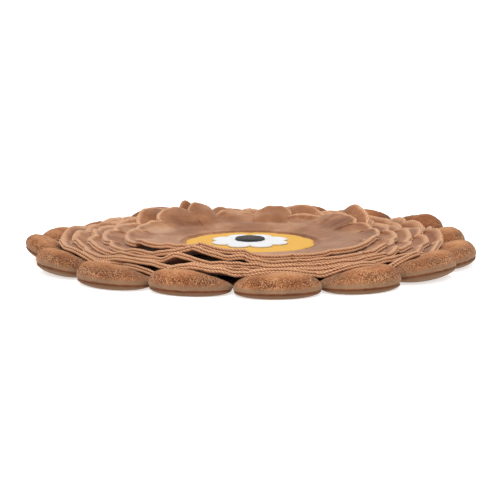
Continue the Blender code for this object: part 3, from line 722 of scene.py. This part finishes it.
lattice_bearing, lattice_radius = np.meshgrid(LATTICE_BEARINGS, LATTICE_RADII, indexing="ij")
below = rim_top(lattice_bearing, lattice_radius) + RIM_ALLOWANCE
sewn = PAD_THICKNESS + SEWN_GAP + SEWN_THICKNESS / 2
for disc, notches in zip(DISCS, NOTCHES):
    number = disc[0]
    # Two columns a degree, crowding towards the notches, where the edge turns sharply.
    widths = np.diff(np.append(notches, notches[0] + 360))
    places = [(1 - np.cos(np.linspace(0, 1, 2 * width, endpoint=False) * math.pi)) / 2 for width in widths]
    columns = np.radians(np.concatenate([a + w * place for a, w, place in zip(notches, widths, places)]))
    edge = edge_radius(disc, columns)
    step = (np.roll(columns, -1) - np.roll(columns, 1)) % (2 * math.pi)
    slope = (np.roll(edge, -1) - np.roll(edge, 1)) / step
    widen = np.minimum(np.hypot(1.0, slope / edge), SLANT_LIMIT)
    hem_from = edge - HEM_HALF * widen
    inner = np.linspace(0.04, 1, 5, endpoint=False)[:, None] * SEWN_RADIUS * np.ones(len(columns))
    field = SEWN_RADIUS + (hem_from - SEWN_RADIUS) * np.linspace(0, 1, 26)[:, None]
    radii = np.concatenate([inner, field])
    angle = np.broadcast_to(columns, radii.shape)
    middle = middle_surface(disc, angle, radii, below, sewn)
    half = half_thickness(disc, angle, radii)
    rise = np.gradient(middle, axis=0) / np.maximum(np.gradient(radii, axis=0), 1e-6)
    rise = np.where(radii <= SEWN_RADIUS, 0.0, rise)
    lean = np.arctan(rise)
    # Upper side, hem and lower side in turn, each point set off from the middle surface at right angles.
    upper_r, upper_z = radii - half * np.sin(lean), middle + half * np.cos(lean)
    lower_r, lower_z = radii + half * np.sin(lean), middle - half * np.cos(lean)
    # The hem is a little uneven, and here and there its groove gapes.
    edge_x, edge_y = edge * np.cos(columns), edge * np.sin(columns)
    wobble = 1 + 0.10 * ripple(800 + number, 0.010, edge_x, edge_y)
    gape = 0.8 * np.maximum(ripple(900 + number, 0.05, edge_x, edge_y), 0)
    along_hem = HEM_HALF * (widen * (1 - hem_inset) * wobble - 0.9 * gape * (hem_side == 0))
    offset = HEM_HALF * hem_side * wobble
    hem_lean = lean[-1]
    hem_r = radii[-1] + along_hem * np.cos(hem_lean) - offset * np.sin(hem_lean)
    hem_z = middle[-1] + along_hem * np.sin(hem_lean) + offset * np.cos(hem_lean)
    all_r = np.concatenate([upper_r, hem_r, lower_r[::-1]])
    all_z = np.concatenate([upper_z, hem_z, lower_z[::-1]])
    grid = np.stack([all_r * np.sin(columns), -all_r * np.cos(columns), all_z], -1)
    hem_rows = len(hem_side)
    hem_run = hem_from + HEM_ROW * np.arange(1, hem_rows + 1)[:, None]
    run = np.concatenate([radii, hem_run, radii[::-1]])
    uv_u = np.append(columns, columns[0] + 2 * math.pi) * edge.mean()
    uv = np.stack(np.broadcast_arrays(uv_u[None], np.append(run, run[:, :1], 1)), -1)
    # The stitches show over the front, and the pile hides them on the upright petals at the back.
    bare = 1 - 0.8 * back_share(columns)
    near_hem = smooth_step((radii - edge + HEM_WIDTH) / (HEM_WIDTH / 2)) * 0.8
    hem_paint = np.concatenate([near_hem, np.ones((hem_rows, len(columns))), near_hem[::-1]])
    in_groove = np.repeat(is_groove, len(columns), 1)
    groove_paint = np.concatenate([np.zeros_like(radii), in_groove, np.zeros_like(radii)])
    tone_shift = ripple(1000 + number, 0.06, grid[..., 0], grid[..., 1])
    # Painted shade: steep parts of the discs, such as the upright petals, are painted darker.
    steep = smooth_step(np.abs(rise) / 0.55)
    steep = np.concatenate([steep, np.repeat(steep[-1:], hem_rows, 0), steep[::-1]])
    # Painted shade: the top disc's right side is painted darker, except at the back and on the hem.
    painted_shade = 0.20 * (number == len(DISCS)) * np.maximum(np.sin(columns), 0.0) * (1 - back_share(columns))
    # Painted highlight: the hem is painted lighter, less so at the back.
    nap_and_painted_light = 0.12 * tone_shift + 0.08 - 0.20 * steep * (1 - hem_paint) + 0.46 * hem_paint * bare**0.5
    # Painted shade: the groove where the two cloths meet is painted dark, and the top disc's right side
    # darker.
    nap_and_painted_light -= 0.85 * groove_paint**2 + painted_shade * (1 - hem_paint)
    strokes = 0.35 + 0.6 * np.maximum(ripple(1100 + number, 0.04, grid[..., 0], grid[..., 1]), 0)
    ends = [(0, 0, sewn + SEWN_THICKNESS / 2), (0, 0, sewn - SEWN_THICKNESS / 2)]
    paints = {"strokes": strokes, "nap_and_painted_light": nap_and_painted_light, "hem": hem_paint * bare}
    piece = sew_skin(f"petals_{number}", grid, ends, uv, paints, petal_plush)
    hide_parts(f"petal_disc_{number}")
    # What the next disc lies on: this one's upper side.
    middle = middle_surface(disc, lattice_bearing, lattice_radius, below, sewn)
    rise = np.gradient(middle, LATTICE_RADII[1], axis=1)
    stretch = np.sqrt(1 + np.minimum(rise**2, 4.0))
    below = middle + half_thickness(disc, lattice_bearing, lattice_radius) * stretch
    sewn += SEWN_THICKNESS + SEWN_GAP


# Applique: a yellow felt ground, a white felt flower and a black felt middle, each cut with a plain
# outline, whipped down round its edge and a little puffed, on the flat middle of the top disc.
PATCH_PUFF = 0.0010
PUFF_WIDTH = 0.012
FELT_NAP, FELT_NAP_SIZE = 0.00018, 0.006
WHIP_WIDTH = 0.0016
PATCH_COLUMNS = 480
PATCH_ROWS = 24
PATCH_EDGE_ROWS = 7
PATCH_BACK_ROWS = 10

# radius, depth, scallops, thick: how far out the patch reaches, how deep it is cut in between its
# scallops, how many of these it has, and how thick it is.
GROUND = (0.0725, 0.0035, 12, 0.0012)
FLOWER = (0.0440, 0.0150, 8, 0.0012)
MIDDLE = (0.0165, 0.0, 1, 0.0018)


def patch_edge(patch, bearing):
    """The patch's outline: each scallop is half an ellipse, cut in at its notches."""
    radius, depth, scallops = patch[:3]
    offset = np.abs(2 * (bearing * scallops / (2 * math.pi) % 1.0) - 1)
    return radius - depth * (1 - np.sqrt(1 - np.minimum(offset, 1.0) ** 2))


def felt_finish(name, colour, pale):
    """Felt: matted fibres in two near tones, with whipped stitches where the paint stitches is."""
    material, shader, nodes, links = new_finish(name, 0.9, 0.15, 0.5, (1, 1, 1))
    place = nodes.new("ShaderNodeTexCoord")
    fibres = nodes.new("ShaderNodeTexNoise")
    fibres.inputs["Scale"].default_value = 420.0
    fibres.inputs["Detail"].default_value = 4.0
    fibres.inputs["Distortion"].default_value = 1.2
    blend = nodes.new("ShaderNodeMix")
    blend.data_type = "RGBA"
    blend.inputs["A"].default_value = (*colour, 1)
    blend.inputs["B"].default_value = (*pale, 1)
    cloth = nodes.new("ShaderNodeUVMap")
    cloth.uv_map = "cloth"
    whipped = nodes.new("ShaderNodeTexWave")
    whipped.inputs["Scale"].default_value = 260.0
    whipped.inputs["Distortion"].default_value = 0.6
    stitches = nodes.new("ShaderNodeAttribute")
    stitches.attribute_name = "stitches"
    ribs = nodes.new("ShaderNodeMath")
    ribs.operation = "MULTIPLY"
    height = nodes.new("ShaderNodeMath")
    height.operation = "ADD"
    relief = nodes.new("ShaderNodeBump")
    relief.inputs["Distance"].default_value = 0.0006
    relief.inputs["Strength"].default_value = 0.6
    links.new(place.outputs["Object"], fibres.inputs["Vector"])
    links.new(fibres.outputs["Fac"], blend.inputs["Factor"])
    links.new(blend.outputs["Result"], shader.inputs["Base Color"])
    links.new(cloth.outputs["UV"], whipped.inputs["Vector"])
    links.new(whipped.outputs["Fac"], ribs.inputs[0])
    links.new(stitches.outputs["Fac"], ribs.inputs[1])
    links.new(ribs.outputs[0], height.inputs[0])
    links.new(fibres.outputs["Fac"], height.inputs[1])
    links.new(height.outputs[0], relief.inputs["Height"])
    links.new(relief.outputs["Normal"], shader.inputs["Normal"])
    return material


patch_low = sewn - SEWN_THICKNESS / 2
columns = np.arange(PATCH_COLUMNS) * 2 * math.pi / PATCH_COLUMNS
outward, inward = np.linspace(0.03, 1, PATCH_ROWS), np.linspace(1, 0.03, PATCH_BACK_ROWS)
rolled = np.linspace(math.pi / 2, -math.pi / 2, PATCH_EDGE_ROWS)
share = np.concatenate([outward, np.ones(PATCH_EDGE_ROWS), inward])[:, None]
edge_inset = np.concatenate([np.ones(PATCH_ROWS), 1 - np.cos(rolled), np.ones(PATCH_BACK_ROWS)])[:, None]
side = np.concatenate([np.ones(PATCH_ROWS), np.sin(rolled), -np.ones(PATCH_BACK_ROWS)])[:, None]
for patch_name, node, patch, slot, colour, pale in (
    ("ground_patch", "applique_ground", GROUND, "yellow_felt", (0.70, 0.34, 0.030), (0.86, 0.50, 0.075)),
    ("flower_patch", "applique_flower", FLOWER, "white_felt", (0.70, 0.70, 0.72), (0.90, 0.90, 0.90)),
    ("middle_patch", "applique_middle", MIDDLE, "black_felt", (0.012, 0.010, 0.010), (0.05, 0.045, 0.04)),
):
    thick = patch[3]
    edge = patch_edge(patch, columns)
    radius = share * (edge - edge_inset * thick / 2)
    bulge = (side == 1) * PATCH_PUFF * np.sin(math.pi * np.minimum((edge - radius) / PUFF_WIDTH, 0.5))
    x, y = radius * np.sin(columns), -radius * np.cos(columns)
    fuzz = (side == 1) * (share < 1) * FELT_NAP * ripple(1200, FELT_NAP_SIZE, x, y)
    z = patch_low + thick / 2 + side * thick / 2 + bulge + fuzz
    grid = np.stack(np.broadcast_arrays(x, y, z), -1)
    from_edge = np.broadcast_to(edge - radius, z.shape)
    uv_u = np.append(columns, 2 * math.pi) * patch[0]
    uv_v = np.append(from_edge, from_edge[:, :1], 1)
    uv = np.stack(np.broadcast_arrays(uv_u[None], uv_v), -1)
    paints = {"stitches": 1.2 * smooth_step(1.6 - from_edge / WHIP_WIDTH)}
    ends = [(0, 0, float(z[0].mean())), (0, 0, patch_low)]
    felt = felt_finish(slot.replace("_", " "), colour, pale)
    piece = sew_skin(patch_name, grid, ends, uv, paints, felt)
    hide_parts(node)
    patch_low += thick + PATCH_PUFF + SEWN_GAP


# Floor, light and camera: a pale studio floor, a large soft light overhead and even fill all round, and
# the camera low at the front, as in the photograph.
FLOOR_HALF = 30
corners = [(-FLOOR_HALF, -FLOOR_HALF, 0), (FLOOR_HALF, -FLOOR_HALF, 0), (FLOOR_HALF, FLOOR_HALF, 0)]
floor_mesh = bpy.data.meshes.new("floor")
floor_mesh.from_pydata([*corners, (-FLOOR_HALF, FLOOR_HALF, 0)], [], [(0, 1, 2, 3)])
floor = bpy.data.objects.new("floor", floor_mesh)
bpy.context.scene.collection.objects.link(floor)
floor.location.z = -0.0004
paper = bpy.data.materials.new("studio floor")
paper.use_nodes = True
paper_shader = paper.node_tree.nodes["Principled BSDF"]
paper_shader.inputs["Base Color"].default_value = (0.94, 0.94, 0.94, 1)
paper_shader.inputs["Roughness"].default_value = 0.8
paper_shader.inputs["Emission Color"].default_value = (1, 1, 1, 1)
paper_shader.inputs["Emission Strength"].default_value = 0.6
floor_mesh.materials.append(paper)

world = bpy.data.worlds.new("studio")
bpy.context.scene.world = world
world.use_nodes = True
sky = world.node_tree.nodes["Background"]
sky.inputs["Color"].default_value = (1, 1, 1, 1)
sky.inputs["Strength"].default_value = 0.62

# Each lamp shines towards the mat from a bearing and an elevation, both in degrees.
for lamp_name, bearing, elevation, strength, softness in (
    ("front softbox", -4, 46, 1.35, 50),
    ("overhead softbox", 200, 75, 0.75, 60),
):
    lamp = bpy.data.lights.new(lamp_name, "SUN")
    lamp.energy = strength
    lamp.angle = math.radians(softness)
    softbox = bpy.data.objects.new(lamp_name, lamp)
    bpy.context.scene.collection.objects.link(softbox)
    softbox.rotation_euler = (math.radians(90 - elevation), 0, math.radians(bearing))

CAMERA_DISTANCE = 2.0
CAMERA_ELEVATION = math.radians(9.5)
AIM_HEIGHT = 0.0073
camera = bpy.data.objects.new("camera", bpy.data.cameras.new("camera"))
bpy.context.scene.collection.objects.link(camera)
camera.data.lens = 129.6
camera.data.sensor_width = 36.0
camera.location = (
    0.0,
    -CAMERA_DISTANCE * math.cos(CAMERA_ELEVATION),
    AIM_HEIGHT + CAMERA_DISTANCE * math.sin(CAMERA_ELEVATION),
)
camera.rotation_euler = (math.pi / 2 - CAMERA_ELEVATION, 0, 0)
bpy.context.scene.camera = camera
bpy.context.scene.view_settings.view_transform = "Standard"
